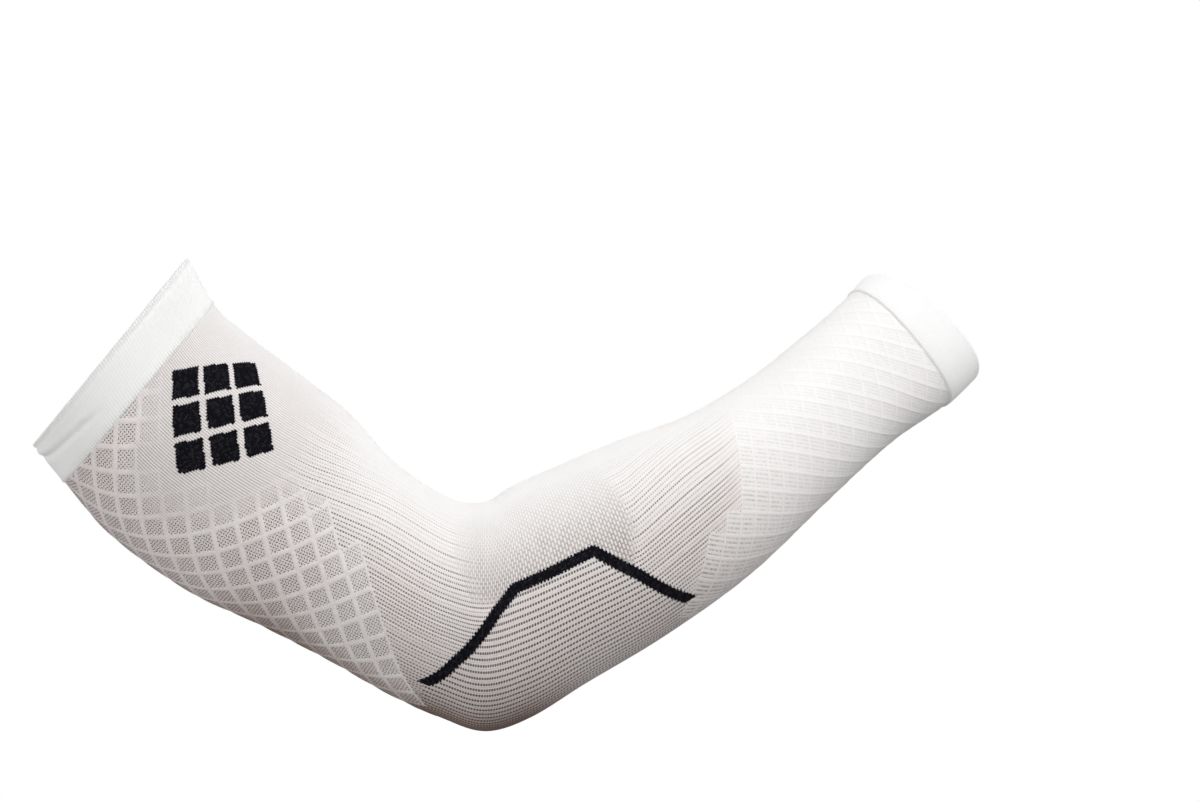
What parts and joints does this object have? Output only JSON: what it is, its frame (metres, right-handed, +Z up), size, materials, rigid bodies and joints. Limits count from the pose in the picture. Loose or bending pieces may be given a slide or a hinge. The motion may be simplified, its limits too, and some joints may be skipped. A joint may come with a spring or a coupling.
{
  "type": "arm compression sleeve",
  "caption": "Knitted arm compression sleeve on a bent arm: an open tube with lattice and rib knit, a welt at each end, a dark elbow stripe and a diamond motif.",
  "frame": {"origin": "middle of the elbow joint, inside the hollow of the sleeve", "axes": "+Y along the elbow's hinge line, away from the side with the motif; +X towards the wrist, square to it; +Z up, as the picture shows the bent arm"},
  "size_m": [0.4218, 0.1322, 0.2076],
  "materials": {
    "white_knit": "matte white knit with a diamond lattice, ribs and an open mesh in the crook",
    "white_welt": "smooth matte white double-layer knit",
    "black_knit": "matte black knit"
  },
  "bodies": {
    "root": {"bicep_cuff": "white_welt", "upper_arm_tube": "white_knit", "elbow_tube": "white_knit", "forearm_tube": "white_knit", "wrist_cuff": "white_welt", "elbow_stripe_near": "black_knit", "elbow_stripe_far": "black_knit", "motif_diamond_1": "black_knit", "motif_diamond_2": "black_knit", "motif_diamond_3": "black_knit", "motif_diamond_4": "black_knit", "motif_diamond_5": "black_knit", "motif_diamond_6": "black_knit", "motif_diamond_7": "black_knit", "motif_diamond_8": "black_knit", "motif_diamond_9": "black_knit"}
  },
  "joints": []
}
